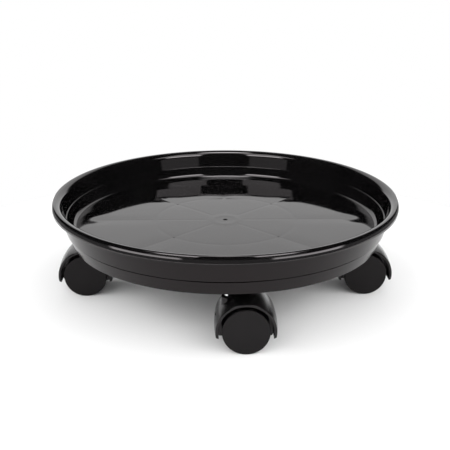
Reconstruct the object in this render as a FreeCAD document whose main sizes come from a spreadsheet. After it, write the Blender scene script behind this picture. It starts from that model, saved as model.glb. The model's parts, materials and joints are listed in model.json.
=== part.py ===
"""Plant pot caddy: a round plastic tray on four hooded twin-wheel swivel casters.

Frame: origin on the ground under the middle of the tray, +Z up, millimetres.
One caster stands on each of the -Y (front), +X (right), +Y (rear) and -X (left) sides.
Every caster axle lies along Y at rest.
"""

import FreeCAD, Part
import os
import Sketcher

ORIGIN = FreeCAD.Vector(0, 0, 0)
UP = FreeCAD.Vector(0, 0, 1)
ALONG_Y = FreeCAD.Vector(0, 1, 0)
NEAR = 0.01  # how near an edge must lie to be the one looked for, in millimetres

doc = FreeCAD.newDocument("plant_pot_caddy")


# ---------------------------------------------------------------- driving dimensions

# alias, value, what it is (millimetres unless it says degrees or count)
SIZES = [
    # tray, from the lip down
    ("lip_diameter", 305, "tray, across the rolled lip"),
    ("lip_width", 8.2, "lip, from its inner edge to its outer edge"),
    ("lip_drop", 6.4, "lip, height of its rolled edge"),
    ("lip_thickness", 2.8, "lip, top skin and rolled edge"),
    ("lip_round", 3.4, "lip, outer rounding"),
    ("lip_inner_fall", 3.2, "how far the lip's inner edge lies below its top"),
    ("wall", 3.4, "tray wall"),
    ("wall_slope", 17, "wall above the ledge, degrees from the vertical"),
    ("dish_depth", 25.2, "floor of the dish to the top of the lip"),
    ("ledge_height", 10.2, "inner ledge line above the floor"),
    ("ledge_width", 0.6, "inner ledge line, step in the wall"),
    ("ledge_slope", 24, "inside wall below the ledge, degrees from the vertical"),
    ("floor_thickness", 2.8, "floor of the dish"),
    ("floor_corner", 5.5, "inner corner radius between floor and wall"),
    ("skirt_inset", 0.9, "how far the skirt sits in from the wall above"),
    ("skirt_slope", 20, "skirt, degrees from the vertical"),
    ("skirt_depth", 12.2, "skirt, floor of the dish to its bottom edge"),
    # stiffening under the floor
    ("rib_thickness", 2, "radial and ring ribs"),
    ("rib_depth", 7, "ribs, below the floor"),
    ("rib_count", 8, "radial ribs"),
    ("hub_ring_radius", 15, "inner ring rib, middle of its wall"),
    ("outer_ring_radius", 63, "outer ring rib, middle of its wall"),
    ("ejector_radius", 3.5, "round pads where the outer ring meets the diagonal ribs"),
    ("gate_radius", 1.2, "moulding gate mark in the middle of the floor"),
    ("gate_depth", 0.4, "moulding gate mark"),
    # caster sockets in the tray
    ("caster_inset", 40.5, "edge of the lip to the stem axis"),
    ("socket_wall", 3.6, "socket boss around the stem bore"),
    ("socket_below_skirt", 7.8, "socket boss below the bottom edge of the skirt"),
    ("socket_cap", 2, "solid floor above the blind stem bore"),
    ("gusset_reach", 10, "gusset, out from the socket boss along the floor"),
    ("gusset_short", 3, "gusset tip above the bottom of the boss"),
    # stem and its two split rings
    ("stem_radius", 3, "steel stem"),
    ("stem_chamfer", 0.6, "stem ends"),
    ("stem_show", 3.6, "bare stem between hood tower and socket boss"),
    ("socket_fit", 0.05, "stem in the tray socket, radial clearance"),
    ("swivel_fit", 0.05, "stem in the hood bore, radial clearance"),
    ("swivel_float", 0.1, "end play between stem tip and hood bore"),
    ("groove_depth", 0.5, "both ring grooves in the stem"),
    ("ring_wire", 0.9, "grip ring and stem clip, radial thickness"),
    ("ring_room", 0.3, "clearance around the rings in their undercuts"),
    ("ring_opening", 50, "opening of the split rings, degrees"),
    ("grip_ring_height", 2.4, "grip ring"),
    ("grip_ring_depth", 9, "grip ring below the top of the stem"),
    ("stem_clip_height", 1.2, "stem clip"),
    ("stem_clip_rise", 4, "stem clip above the bottom of the stem"),
    # wheels and axle
    ("wheel_radius", 19, "wheel tread"),
    ("wheel_gap", 0.6, "side gap between wheel and web"),
    ("wheel_rim", 2.6, "wheel rim"),
    ("wheel_face", 2.2, "closed outer face of the wheel"),
    ("wheel_edge", 0.9, "rounding of the tread's outer edge"),
    ("wheel_hub_wall", 2.2, "wheel hub around the axle bore"),
    ("wheel_hub_cap", 1, "solid left between axle bore and wheel face"),
    ("wheel_rib", 1.6, "ribs between hub and rim"),
    ("wheel_rib_count", 6, "ribs between hub and rim"),
    ("wheel_rib_setback", 1, "ribs below the open edge of the wheel"),
    ("axle_radius", 2.5, "steel axle"),
    ("axle_chamfer", 0.5, "axle ends"),
    ("axle_float", 0.2, "end play between axle tip and wheel bore"),
    ("roll_fit", 0.05, "axle in the wheel bore, radial clearance"),
    # hood
    ("caster_width", 38, "across both wheels and the hood"),
    ("trail", 14, "stem axis to axle"),
    ("wheel_room", 2.8, "gap between tread and hood arch"),
    ("hood_wall", 2.2, "hood arch at its side edges"),
    ("hood_crown", 1, "how far the arch swells in the middle"),
    ("hood_edge", 0.6, "rounding of the arch's outer edges"),
    ("hood_tip_drop", 5.5, "arch tips below the axle"),
    ("web_drop", 9, "web below the axle"),
    ("web_side", 0.2, "web beyond each side of the tower"),
    ("tower_wall", 2.25, "stem tower around the swivel bore"),
    ("tower_sink", 0.6, "top of the tower below the side edges' top"),
    ("tower_straight", 5.5, "straight part of the tower below its top"),
    ("tower_flare", 5, "how far the tower spreads into the arch"),
    ("tower_flare_height", 10, "height of that flare"),
    ("stem_bore_rise", 3, "blind bottom of the stem bore above the axle"),
]

sizes = doc.addObject("Spreadsheet::Sheet", "Sizes")
for row, (alias, value, note) in enumerate(SIZES, start=1):
    sizes.set(f"A{row}", alias)
    sizes.set(f"B{row}", str(value))
    sizes.setAlias(f"B{row}", alias)
    sizes.set(f"C{row}", note)
doc.recompute()
ALIASES = {alias for alias, value, note in SIZES}


def spell(expression):
    """Expression text in which every bare alias is written as a cell of the sheet."""
    text = ""
    word = ""
    for letter in expression + " ":
        if letter.isalnum() or letter == "_":
            word += letter
            continue
        text += f"Sizes.{word}" if word in ALIASES else word
        text += letter
        word = ""
    return text.strip()


def value_of(expression):
    """What an expression in the sheet's aliases comes to, as a plain number."""
    result = sizes.evalExpression(spell(expression))
    return float(getattr(result, "Value", result))


# ---------------------------------------------------------------- sketch and feature helpers


def new_body(name, position=ORIGIN, turn=0):
    """An empty body that stands at a position, turned about its own vertical."""
    body = doc.addObject("PartDesign::Body", name)
    body.Label = name
    body.Placement = FreeCAD.Placement(position, FreeCAD.Rotation(UP, turn))
    return body


def origin_feature(body, role):
    """One of the body's own origin planes or axes, such as XY_Plane or Z_Axis."""
    return next(f for f in body.Origin.OriginFeatures if f.Role == role)


def new_sketch(body, name, plane, offset=None):
    """A sketch on one of the body's origin planes; offset maps its axes to expressions."""
    sketch = body.newObject("Sketcher::SketchObject", name)
    sketch.AttachmentSupport = [(origin_feature(body, plane), "")]
    sketch.MapMode = "FlatFace"
    for axis, expression in (offset or {}).items():
        sketch.setExpression(f".AttachmentOffset.Base.{axis}", spell(expression))
    return sketch


def outline(sketch, corners):
    """A closed outline of straight sides, each corner placed by two expressions."""
    here = [(value_of(across), value_of(up)) for across, up in corners]
    first = sketch.GeometryCount
    for index, start in enumerate(here):
        end = here[(index + 1) % len(here)]
        a = FreeCAD.Vector(start[0], start[1], 0)
        b = FreeCAD.Vector(end[0], end[1], 0)
        sketch.addGeometry(Part.LineSegment(a, b), False)
    for index in range(len(here)):
        after = (index + 1) % len(here)
        sketch.addConstraint(Sketcher.Constraint("Coincident", first + index, 2, first + after, 1))
    for index, (across, up) in enumerate(corners):
        place(sketch, first + index, 1, across, up)


def bind(sketch, kind, points, expression):
    """One dimension of a sketch, bound to an expression in the sheet's aliases."""
    number = sketch.addConstraint(Sketcher.Constraint(kind, *points, value_of(expression)))
    sketch.setExpression(f"Constraints[{number}]", spell(expression))


def place(sketch, geometry, point, across, up):
    """Pins one sketch point at two expressions, measured from the sketch's origin."""
    bind(sketch, "DistanceX", (-1, 1, geometry, point), across)
    bind(sketch, "DistanceY", (-1, 1, geometry, point), up)


def circle(sketch, across, up, radius):
    """A circle with its centre and radius bound to expressions."""
    centre = FreeCAD.Vector(value_of(across), value_of(up), 0)
    number = sketch.addGeometry(Part.Circle(centre, UP, value_of(radius)), False)
    place(sketch, number, 3, across, up)
    bind(sketch, "Radius", (number,), radius)


def pad(body, sketch, name, length, both_ways=False, downwards=False):
    """Adds the sketch's area to the body over a length."""
    feature = body.newObject("PartDesign::Pad", name)
    feature.Profile = sketch
    feature.setExpression("Length", spell(length))
    feature.Midplane = both_ways
    feature.Reversed = downwards
    doc.recompute()
    return feature


def cut(body, sketch, name, length, both_ways=False):
    """Takes the sketch's area out of the body, against the sketch's normal."""
    before = body.Shape.Volume
    feature = body.newObject("PartDesign::Pocket", name)
    feature.Profile = sketch
    feature.setExpression("Length", spell(length))
    feature.Midplane = both_ways
    doc.recompute()
    must_shrink(body, before, name)
    return feature


def turn_solid(body, sketch, name, angle="360", axis="V_Axis", both_ways=False):
    """Adds the solid that the sketch sweeps about one of its own axes."""
    feature = body.newObject("PartDesign::Revolution", name)
    feature.Profile = sketch
    feature.ReferenceAxis = (sketch, [axis])
    feature.setExpression("Angle", spell(angle))
    feature.Midplane = both_ways
    doc.recompute()
    return feature


def turn_cut(body, sketch, name):
    """Takes out the ring that the sketch sweeps about its own vertical axis."""
    before = body.Shape.Volume
    feature = body.newObject("PartDesign::Groove", name)
    feature.Profile = sketch
    feature.ReferenceAxis = (sketch, ["V_Axis"])
    feature.Angle = 360
    doc.recompute()
    must_shrink(body, before, name)
    return feature


def must_shrink(body, before, name):
    """Stops the build when a cut has taken nothing away."""
    if body.Shape.Volume > before - 0.01:
        raise RuntimeError(f"{name} cuts nothing out of {body.Label}")


def around(body, features, name, count, axis="Z_Axis"):
    """Repeats features evenly about one of the body's origin axes."""
    pattern = body.newObject("PartDesign::PolarPattern", name)
    pattern.Originals = features
    pattern.Axis = (origin_feature(body, axis), [""])
    pattern.Angle = 360
    pattern.setExpression("Occurrences", spell(count))
    body.Tip = pattern
    doc.recompute()


def round_edges(body, name, radius, chosen):
    """Rounds the edges that chosen(edge) picks on the body's present shape."""
    base = body.Tip
    picked = [f"Edge{n}" for n, edge in enumerate(base.Shape.Edges, start=1) if chosen(edge)]
    if not picked:
        raise RuntimeError(f"{name} finds no edge on {body.Label}")
    feature = body.newObject("PartDesign::Fillet", name)
    feature.Base = (base, picked)
    feature.setExpression("Radius", spell(radius))
    doc.recompute()


def ring_edge(across, up, axis="Z"):
    """Picks the circle about the body's own Z or Y axis at a radius and a place along it."""
    radius = value_of(across)
    place_along = value_of(up)
    direction = UP if axis == "Z" else ALONG_Y

    def chosen(edge):
        if not isinstance(edge.Curve, Part.Circle):
            return False
        centre = edge.Curve.Center
        along = centre.dot(direction)
        aside = (centre - direction * along).Length
        misses = (edge.Curve.Radius - radius, along - place_along, aside)
        return max(abs(miss) for miss in misses) < NEAR

    return chosen


def rim_edges(across, side):
    """Picks the arcs about the body's Y axis at a radius, on both sides of the middle."""
    right = ring_edge(across, side, axis="Y")
    left = ring_edge(across, f"-({side})", axis="Y")
    return lambda edge: right(edge) or left(edge)


# ---------------------------------------------------------------- tray

# Heights, from the ground up: the wheels carry the hoods, the hoods the stems and they the tray.
HOOD_RADIUS = "(wheel_radius + wheel_room + hood_wall)"
TOWER_RADIUS = "(stem_radius + swivel_fit + tower_wall)"
TOWER_RISE = f"({HOOD_RADIUS} - tower_sink)"
SOCKET_BOTTOM = f"(wheel_radius + {TOWER_RISE} + stem_show)"
SKIRT_BOTTOM = f"({SOCKET_BOTTOM} + socket_below_skirt)"
FLOOR_TOP = f"({SKIRT_BOTTOM} + skirt_depth)"
FLOOR_UNDER = f"({FLOOR_TOP} - floor_thickness)"
LEDGE = f"({FLOOR_TOP} + ledge_height)"
LIP_TOP = f"({FLOOR_TOP} + dish_depth)"
LIP_SHOULDER = f"({LIP_TOP} - lip_inner_fall)"
LIP_UNDER = f"({LIP_TOP} - lip_thickness)"

# Radii of the dish where its section turns, from the lip inwards.
LIP = "(lip_diameter / 2)"
LIP_INNER = f"({LIP} - lip_width)"
LEAN = "tan(wall_slope * 1deg)"
LEDGE_OUTER = f"({LIP_INNER} - ({LIP_SHOULDER} - {LEDGE}) * {LEAN})"
FLOOR_EDGE = f"({LEDGE_OUTER} - ledge_width - ledge_height * tan(ledge_slope * 1deg))"
WALL_OUTER = f"({LIP_INNER} + wall / cos(wall_slope * 1deg))"
WALL_UNDER_LIP = f"({WALL_OUTER} - ({LIP_SHOULDER} - {LIP_UNDER}) * {LEAN})"
WALL_STEP = f"({WALL_OUTER} - ({LIP_SHOULDER} - {FLOOR_TOP}) * {LEAN})"
SKIRT_LEAN = "tan(skirt_slope * 1deg)"
SKIRT_ACROSS = "(wall / cos(skirt_slope * 1deg))"
SKIRT_TOP = f"({WALL_STEP} - skirt_inset)"
SKIRT_FOOT = f"({SKIRT_TOP} - skirt_depth * {SKIRT_LEAN})"
SKIRT_INNER_TOP = f"({SKIRT_TOP} - {SKIRT_ACROSS} - floor_thickness * {SKIRT_LEAN})"
STEM_CIRCLE = f"({LIP} - caster_inset)"

# Stem, its rings and the web, shared by the pieces that fit around them.
STEM_TOP = f"({FLOOR_TOP} - socket_cap)"
STEM_BOTTOM = "(wheel_radius + stem_bore_rise + swivel_float)"
GRIP_BOTTOM = f"({STEM_TOP} - grip_ring_depth - grip_ring_height)"
CLIP_BOTTOM = f"({STEM_BOTTOM} + stem_clip_rise)"
GROOVE_RADIUS = "(stem_radius - groove_depth)"
RING_OUTER = f"({GROOVE_RADIUS} + ring_wire)"
HALF_WEB = f"({TOWER_RADIUS} + web_side)"


def make_tray():
    """The dish with its rolled lip and skirt, ribs and rings below, and four stem sockets."""
    tray = new_body("tray")

    section = new_sketch(tray, "dish_section", "XZ_Plane")
    outline(
        section,
        [
            ("0", FLOOR_UNDER),
            (SKIRT_INNER_TOP, FLOOR_UNDER),
            (f"{SKIRT_FOOT} - {SKIRT_ACROSS}", SKIRT_BOTTOM),
            (SKIRT_FOOT, SKIRT_BOTTOM),
            (SKIRT_TOP, FLOOR_TOP),
            (WALL_STEP, FLOOR_TOP),
            (WALL_UNDER_LIP, LIP_UNDER),
            (f"{LIP} - lip_thickness", LIP_UNDER),
            (f"{LIP} - lip_thickness", f"{LIP_TOP} - lip_drop"),
            (LIP, f"{LIP_TOP} - lip_drop"),
            (LIP, LIP_TOP),
            (f"{LIP_INNER} + lip_inner_fall", LIP_TOP),
            (LIP_INNER, LIP_SHOULDER),
            (LEDGE_OUTER, LEDGE),
            (f"{LEDGE_OUTER} - ledge_width", LEDGE),
            (FLOOR_EDGE, FLOOR_TOP),
            ("0", FLOOR_TOP),
        ],
    )
    turn_solid(tray, section, "dish")
    round_edges(tray, "floor_corner_round", "floor_corner", ring_edge(FLOOR_EDGE, FLOOR_TOP))
    round_edges(tray, "lip_round_edge", "lip_round", ring_edge(LIP, LIP_TOP))
    crown = ring_edge(f"{LIP_INNER} + lip_inner_fall", LIP_TOP)
    round_edges(tray, "lip_crown_edge", "lip_inner_fall", crown)

    half_rib = "rib_thickness / 2"
    rib = new_sketch(tray, "radial_rib_outline", "XY_Plane", {"z": FLOOR_UNDER})
    rib_end = f"{SKIRT_FOOT} - {SKIRT_ACROSS} / 2"
    outline(
        rib,
        [
            ("hub_ring_radius", f"-{half_rib}"),
            (rib_end, f"-{half_rib}"),
            (rib_end, half_rib),
            ("hub_ring_radius", half_rib),
        ],
    )
    radial = pad(tray, rib, "radial_rib", "rib_depth", downwards=True)
    around(tray, [radial], "radial_ribs", "rib_count")

    for name in ("hub_ring", "outer_ring"):
        ring = new_sketch(tray, f"{name}_outline", "XY_Plane", {"z": FLOOR_UNDER})
        circle(ring, "0", "0", f"{name}_radius + {half_rib}")
        circle(ring, "0", "0", f"{name}_radius - {half_rib}")
        pad(tray, ring, name, "rib_depth", downwards=True)

    ejector = new_sketch(tray, "ejector_outline", "XY_Plane", {"z": FLOOR_UNDER})
    diagonal = "outer_ring_radius * sin(45deg)"
    circle(ejector, diagonal, diagonal, "ejector_radius")
    ejector_pad = pad(tray, ejector, "ejector_pad", "rib_depth", downwards=True)
    around(tray, [ejector_pad], "ejector_pads", "4")

    make_sockets(tray)

    gate = new_sketch(tray, "gate_outline", "XY_Plane", {"z": FLOOR_TOP})
    circle(gate, "0", "0", "gate_radius")
    cut(tray, gate, "gate_mark", "gate_depth")
    return tray


def make_sockets(tray):
    """Four bosses under the floor, each with two gussets and a blind bore for a stem."""
    boss_radius = "(stem_radius + socket_fit + socket_wall)"
    boss = new_sketch(tray, "socket_outline", "XY_Plane", {"z": FLOOR_UNDER})
    circle(boss, STEM_CIRCLE, "0", boss_radius)
    boss_pad = pad(tray, boss, "socket_boss", f"{FLOOR_UNDER} - {SOCKET_BOTTOM}", downwards=True)
    around(tray, [boss_pad], "socket_bosses", "4")

    gusset = new_sketch(tray, "gusset_outline", "XZ_Plane", {"x": STEM_CIRCLE})
    foot = f"{SOCKET_BOTTOM} + gusset_short"
    reach = f"({boss_radius} + gusset_reach)"
    outline(
        gusset,
        [
            (f"-{reach}", FLOOR_UNDER),
            (f"-{reach}", f"{FLOOR_UNDER} - rib_depth"),
            (f"-{boss_radius}", foot),
            (boss_radius, foot),
            (reach, f"{FLOOR_UNDER} - rib_depth"),
            (reach, FLOOR_UNDER),
        ],
    )
    gusset_pad = pad(tray, gusset, "gusset", "rib_thickness", both_ways=True)
    around(tray, [gusset_pad], "gussets", "4")

    bore = new_sketch(tray, "socket_bore_section", "XZ_Plane", {"x": STEM_CIRCLE})
    fit = "stem_radius + socket_fit"
    undercut = f"{RING_OUTER} + ring_room"
    undercut_bottom = f"{GRIP_BOTTOM} - ring_room"
    undercut_top = f"{GRIP_BOTTOM} + grip_ring_height + ring_room"
    below = f"{SOCKET_BOTTOM} - 1"
    outline(
        bore,
        [
            ("0", below),
            (fit, below),
            (fit, undercut_bottom),
            (undercut, undercut_bottom),
            (undercut, undercut_top),
            (fit, undercut_top),
            (fit, STEM_TOP),
            ("0", STEM_TOP),
        ],
    )
    bore_cut = turn_cut(tray, bore, "socket_bore")
    around(tray, [bore_cut], "socket_bores", "4")


# ---------------------------------------------------------------- caster pieces


def make_stem(name, position, turn):
    """Steel swivel pin with a groove for the grip ring above and for the clip below."""
    stem = new_body(name, position, turn)
    section = new_sketch(stem, f"{name}_section", "XZ_Plane")
    outline(
        section,
        [
            ("0", STEM_BOTTOM),
            ("stem_radius - stem_chamfer", STEM_BOTTOM),
            ("stem_radius", f"{STEM_BOTTOM} + stem_chamfer"),
            ("stem_radius", CLIP_BOTTOM),
            (GROOVE_RADIUS, CLIP_BOTTOM),
            (GROOVE_RADIUS, f"{CLIP_BOTTOM} + stem_clip_height"),
            ("stem_radius", f"{CLIP_BOTTOM} + stem_clip_height"),
            ("stem_radius", GRIP_BOTTOM),
            (GROOVE_RADIUS, GRIP_BOTTOM),
            (GROOVE_RADIUS, f"{GRIP_BOTTOM} + grip_ring_height"),
            ("stem_radius", f"{GRIP_BOTTOM} + grip_ring_height"),
            ("stem_radius", f"{STEM_TOP} - stem_chamfer"),
            ("stem_radius - stem_chamfer", STEM_TOP),
            ("0", STEM_TOP),
        ],
    )
    turn_solid(stem, section, f"{name}_pin")
    return stem


def make_split_ring(name, position, turn, bottom, height):
    """Spring ring that sits in a groove of the stem, open on one side."""
    ring = new_body(name, position, turn)
    section = new_sketch(ring, f"{name}_section", "XZ_Plane")
    outline(
        section,
        [
            (GROOVE_RADIUS, bottom),
            (RING_OUTER, bottom),
            (RING_OUTER, f"{bottom} + {height}"),
            (GROOVE_RADIUS, f"{bottom} + {height}"),
        ],
    )
    turn_solid(ring, section, f"{name}_wire", angle="360 - ring_opening")
    return ring


def make_hood(name, position, turn):
    """Plastic hood: a swollen arch over both wheels, the web between them and the stem tower.

    Its own origin is the middle of the axle, with the stem at -X.
    """
    hood = new_body(name, position, turn)

    arch = new_sketch(hood, f"{name}_arch_section", "YZ_Plane")
    arch_section(arch)
    around_axle = "180 + 2 * asin(hood_tip_drop / " + HOOD_RADIUS + ") / 1deg"
    turn_solid(hood, arch, f"{name}_arch", angle=around_axle, axis="H_Axis", both_ways=True)
    rims = rim_edges(HOOD_RADIUS, "caster_width / 2")
    round_edges(hood, f"{name}_arch_rims", "hood_edge", rims)

    tower = new_sketch(hood, f"{name}_tower_section", "XZ_Plane", {"x": "-trail"})
    flare_top = f"{TOWER_RISE} - tower_straight"
    outline(
        tower,
        [
            ("0", "0"),
            (f"{TOWER_RADIUS} + tower_flare", "0"),
            (f"{TOWER_RADIUS} + tower_flare", f"{flare_top} - tower_flare_height"),
            (TOWER_RADIUS, flare_top),
            (TOWER_RADIUS, TOWER_RISE),
            ("0", TOWER_RISE),
        ],
    )
    turn_solid(hood, tower, f"{name}_tower")

    past_side = "(caster_width / 2 + 1)"
    for side, sign in (("left", "-"), ("right", "")):
        cavity = new_sketch(hood, f"{name}_{side}_cavity_section", "XY_Plane")
        outline(
            cavity,
            [
                ("0", f"{sign}{HALF_WEB}"),
                ("wheel_radius + wheel_room", f"{sign}{HALF_WEB}"),
                ("wheel_radius + wheel_room", f"{sign}{past_side}"),
                ("0", f"{sign}{past_side}"),
            ],
        )
        turn_cut(hood, cavity, f"{name}_{side}_cavity")

    web = new_sketch(hood, f"{name}_web_outline", "XZ_Plane")
    web_outline(web)
    pad(hood, web, f"{name}_web", f"2 * {HALF_WEB}", both_ways=True)

    bore = new_sketch(hood, f"{name}_stem_bore_section", "XZ_Plane", {"x": "-trail"})
    fit = "stem_radius + swivel_fit"
    undercut = f"{RING_OUTER} + ring_room"
    undercut_bottom = f"{CLIP_BOTTOM} - wheel_radius - ring_room"
    undercut_top = f"{CLIP_BOTTOM} - wheel_radius + stem_clip_height + ring_room"
    outline(
        bore,
        [
            ("0", "stem_bore_rise"),
            (fit, "stem_bore_rise"),
            (fit, undercut_bottom),
            (undercut, undercut_bottom),
            (undercut, undercut_top),
            (fit, undercut_top),
            (fit, f"{TOWER_RISE} + 1"),
            ("0", f"{TOWER_RISE} + 1"),
        ],
    )
    turn_cut(hood, bore, f"{name}_stem_bore")

    axle_hole = new_sketch(hood, f"{name}_axle_outline", "XZ_Plane")
    circle(axle_hole, "0", "0", "axle_radius")
    cut(hood, axle_hole, f"{name}_axle_hole", f"2 * {HALF_WEB} + 2", both_ways=True)
    return hood


def arch_section(sketch):
    """Section of the arch across the caster: straight inside, swollen outside."""
    half_width = "(caster_width / 2)"
    inner = "(wheel_radius + wheel_room)"
    side = value_of(half_width)
    low = value_of(inner)
    high = value_of(HOOD_RADIUS)
    corners = [
        FreeCAD.Vector(-side, high, 0),
        FreeCAD.Vector(-side, low, 0),
        FreeCAD.Vector(side, low, 0),
        FreeCAD.Vector(side, high, 0),
    ]
    for start, end in zip(corners, corners[1:]):
        sketch.addGeometry(Part.LineSegment(start, end), False)
    crown = FreeCAD.Vector(0, high + value_of("hood_crown"), 0)
    sketch.addGeometry(Part.Arc(corners[3], crown, corners[0]), False)
    for geometry in range(4):
        after = (geometry + 1) % 4
        sketch.addConstraint(Sketcher.Constraint("Coincident", geometry, 2, after, 1))
    place(sketch, 0, 1, f"-{half_width}", HOOD_RADIUS)
    place(sketch, 1, 1, f"-{half_width}", inner)
    place(sketch, 2, 1, half_width, inner)
    place(sketch, 3, 1, half_width, HOOD_RADIUS)
    bind(sketch, "Radius", (3,), f"({half_width}^2 + hood_crown^2) / (2 * hood_crown)")


def web_outline(sketch):
    """The web's outline: a circle inside the arch's wall, cut off level below the axle."""
    radius = "wheel_radius + wheel_room + hood_wall / 2"
    across = value_of(radius)
    drop = value_of("web_drop")
    reach = (across**2 - drop**2) ** 0.5
    left = FreeCAD.Vector(-reach, -drop, 0)
    right = FreeCAD.Vector(reach, -drop, 0)
    sketch.addGeometry(Part.Arc(right, FreeCAD.Vector(0, across, 0), left), False)
    sketch.addGeometry(Part.LineSegment(left, right), False)
    sketch.addConstraint(Sketcher.Constraint("Coincident", 0, 2, 1, 1))
    sketch.addConstraint(Sketcher.Constraint("Coincident", 1, 2, 0, 1))
    sketch.addConstraint(Sketcher.Constraint("Coincident", 0, 3, -1, 1))
    sketch.addConstraint(Sketcher.Constraint("Horizontal", 1))
    bind(sketch, "Radius", (0,), radius)
    bind(sketch, "DistanceY", (1, 1, -1, 1), "web_drop")


def make_axle(name, position, turn):
    """Steel axle, held in the hood's web, with both ends inside the wheels."""
    axle = new_body(name, position, turn)
    section = new_sketch(axle, f"{name}_section", "XY_Plane")
    end = "(caster_width / 2 - wheel_hub_cap - axle_float)"
    outline(
        section,
        [
            ("0", f"-{end}"),
            ("axle_radius - axle_chamfer", f"-{end}"),
            ("axle_radius", f"-{end} + axle_chamfer"),
            ("axle_radius", f"{end} - axle_chamfer"),
            ("axle_radius - axle_chamfer", end),
            ("0", end),
        ],
    )
    turn_solid(axle, section, f"{name}_pin")
    return axle


def make_wheel(name, position, turn):
    """Cup-shaped plastic wheel, closed on its outer face, with a ribbed hub inside.

    Its own origin is the middle of the axle, and its outer face looks along +Y.
    """
    wheel = new_body(name, position, turn)
    open_edge = f"({HALF_WEB} + wheel_gap)"
    outer_face = "(caster_width / 2)"
    face_inside = f"({outer_face} - wheel_face)"
    bore = "(axle_radius + roll_fit)"
    hub = f"({bore} + wheel_hub_wall)"
    rim_inside = "(wheel_radius - wheel_rim)"

    section = new_sketch(wheel, f"{name}_section", "XY_Plane")
    outline(
        section,
        [
            ("0", f"{outer_face} - wheel_hub_cap"),
            (bore, f"{outer_face} - wheel_hub_cap"),
            (bore, open_edge),
            (hub, open_edge),
            (hub, face_inside),
            (rim_inside, face_inside),
            (rim_inside, open_edge),
            ("wheel_radius", open_edge),
            ("wheel_radius", outer_face),
            ("0", outer_face),
        ],
    )
    turn_solid(wheel, section, f"{name}_cup")
    tread_rim = ring_edge("wheel_radius", outer_face, axis="Y")
    round_edges(wheel, f"{name}_edge", "wheel_edge", tread_rim)

    half_rib = "wheel_rib / 2"
    inner_end = f"{hub} - wheel_hub_wall / 2"
    outer_end = f"{rim_inside} + wheel_rim / 2"
    rib = new_sketch(wheel, f"{name}_rib_outline", "XZ_Plane", {"z": f"-{face_inside}"})
    outline(
        rib,
        [
            (inner_end, f"-{half_rib}"),
            (outer_end, f"-{half_rib}"),
            (outer_end, half_rib),
            (inner_end, half_rib),
        ],
    )
    rib_height = f"{face_inside} - {open_edge} - wheel_rib_setback"
    rib_pad = pad(wheel, rib, f"{name}_rib", rib_height)
    around(wheel, [rib_pad], f"{name}_ribs", "wheel_rib_count", axis="Y_Axis")
    return wheel


# ---------------------------------------------------------------- assembly

# Each caster: its name, the side of the tray it is on and which way it trails at rest, both as
# turns about Z in degrees. Trailing turn 0 leaves the stem on the -X side of the axle.
CASTERS = [
    ("front", 270, 0),
    ("right", 0, 0),
    ("rear", 90, 180),
    ("left", 180, 180),
]


def make_caster(side, bearing, heading):
    """All the pieces of one caster, placed about its stem and its axle."""
    out = FreeCAD.Vector(value_of(STEM_CIRCLE), 0, 0)
    back = FreeCAD.Vector(value_of("trail"), 0, 0)
    lift = FreeCAD.Vector(0, 0, value_of("wheel_radius"))
    stem_at = FreeCAD.Rotation(UP, bearing).multVec(out)
    axle_at = stem_at + FreeCAD.Rotation(UP, heading).multVec(back) + lift
    grip = (GRIP_BOTTOM, "grip_ring_height")
    clip = (CLIP_BOTTOM, "stem_clip_height")
    return [
        make_stem(f"{side}_stem", stem_at, heading),
        make_split_ring(f"{side}_grip_ring", stem_at, heading, *grip),
        make_split_ring(f"{side}_stem_clip", stem_at, heading, *clip),
        make_hood(f"{side}_hood", axle_at, heading),
        make_axle(f"{side}_axle", axle_at, heading),
        make_wheel(f"{side}_wheel_1", axle_at, heading),
        make_wheel(f"{side}_wheel_2", axle_at, heading + 180),
    ]


pieces = [make_tray()]
for side, bearing, heading in CASTERS:
    pieces += make_caster(side, bearing, heading)
doc.recompute()

for thing in doc.Objects:
    if "Invalid" in thing.State or "Error" in thing.State:
        raise RuntimeError(f"{thing.Label} failed: {thing.State}")
for piece in pieces:
    if piece.Shape.isNull() or not piece.Shape.isValid() or len(piece.Shape.Solids) != 1:
        raise RuntimeError(f"{piece.Label} is not one valid solid")

os.makedirs("parts", exist_ok=True)
for piece in pieces:
    piece.Shape.exportStep(f"parts/{piece.Label}.step")
    print(piece.Label, round(piece.Shape.Volume / 1000, 2), "cm3")
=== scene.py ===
# %% [markdown]
# # A plant pot caddy in Blender
# The object is a round black tray on four small hooded casters. The design model already fixes every
# size, axle and stem, so this lesson loads it as a frame and builds the finished surfaces around it.
# Every length below is written in millimetres, as on a moulder's drawing, and turned into metres once.

# %% Load the frame
import bpy
import bmesh
import json
import math
from mathutils import Matrix, Vector


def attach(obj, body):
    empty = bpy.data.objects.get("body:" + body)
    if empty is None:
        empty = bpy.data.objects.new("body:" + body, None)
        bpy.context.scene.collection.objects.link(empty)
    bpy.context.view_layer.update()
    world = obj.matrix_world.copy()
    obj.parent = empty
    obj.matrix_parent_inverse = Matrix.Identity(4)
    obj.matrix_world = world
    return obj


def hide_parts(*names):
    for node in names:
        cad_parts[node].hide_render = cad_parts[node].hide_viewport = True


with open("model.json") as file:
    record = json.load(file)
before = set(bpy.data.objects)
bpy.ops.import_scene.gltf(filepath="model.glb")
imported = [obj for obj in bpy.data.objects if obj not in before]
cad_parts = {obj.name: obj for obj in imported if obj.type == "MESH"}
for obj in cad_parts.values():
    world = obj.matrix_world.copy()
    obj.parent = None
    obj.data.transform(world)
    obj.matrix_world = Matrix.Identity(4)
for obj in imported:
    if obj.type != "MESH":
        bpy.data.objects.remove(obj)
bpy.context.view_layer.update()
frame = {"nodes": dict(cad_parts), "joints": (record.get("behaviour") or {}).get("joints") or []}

# %% [markdown]
# The joints of the design say where each stem and each axle stands, so no caster is placed by hand.
# A swivel joint sits on the stem and a roll joint on the axle; the line between them is the caster's
# heading at rest.

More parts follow.
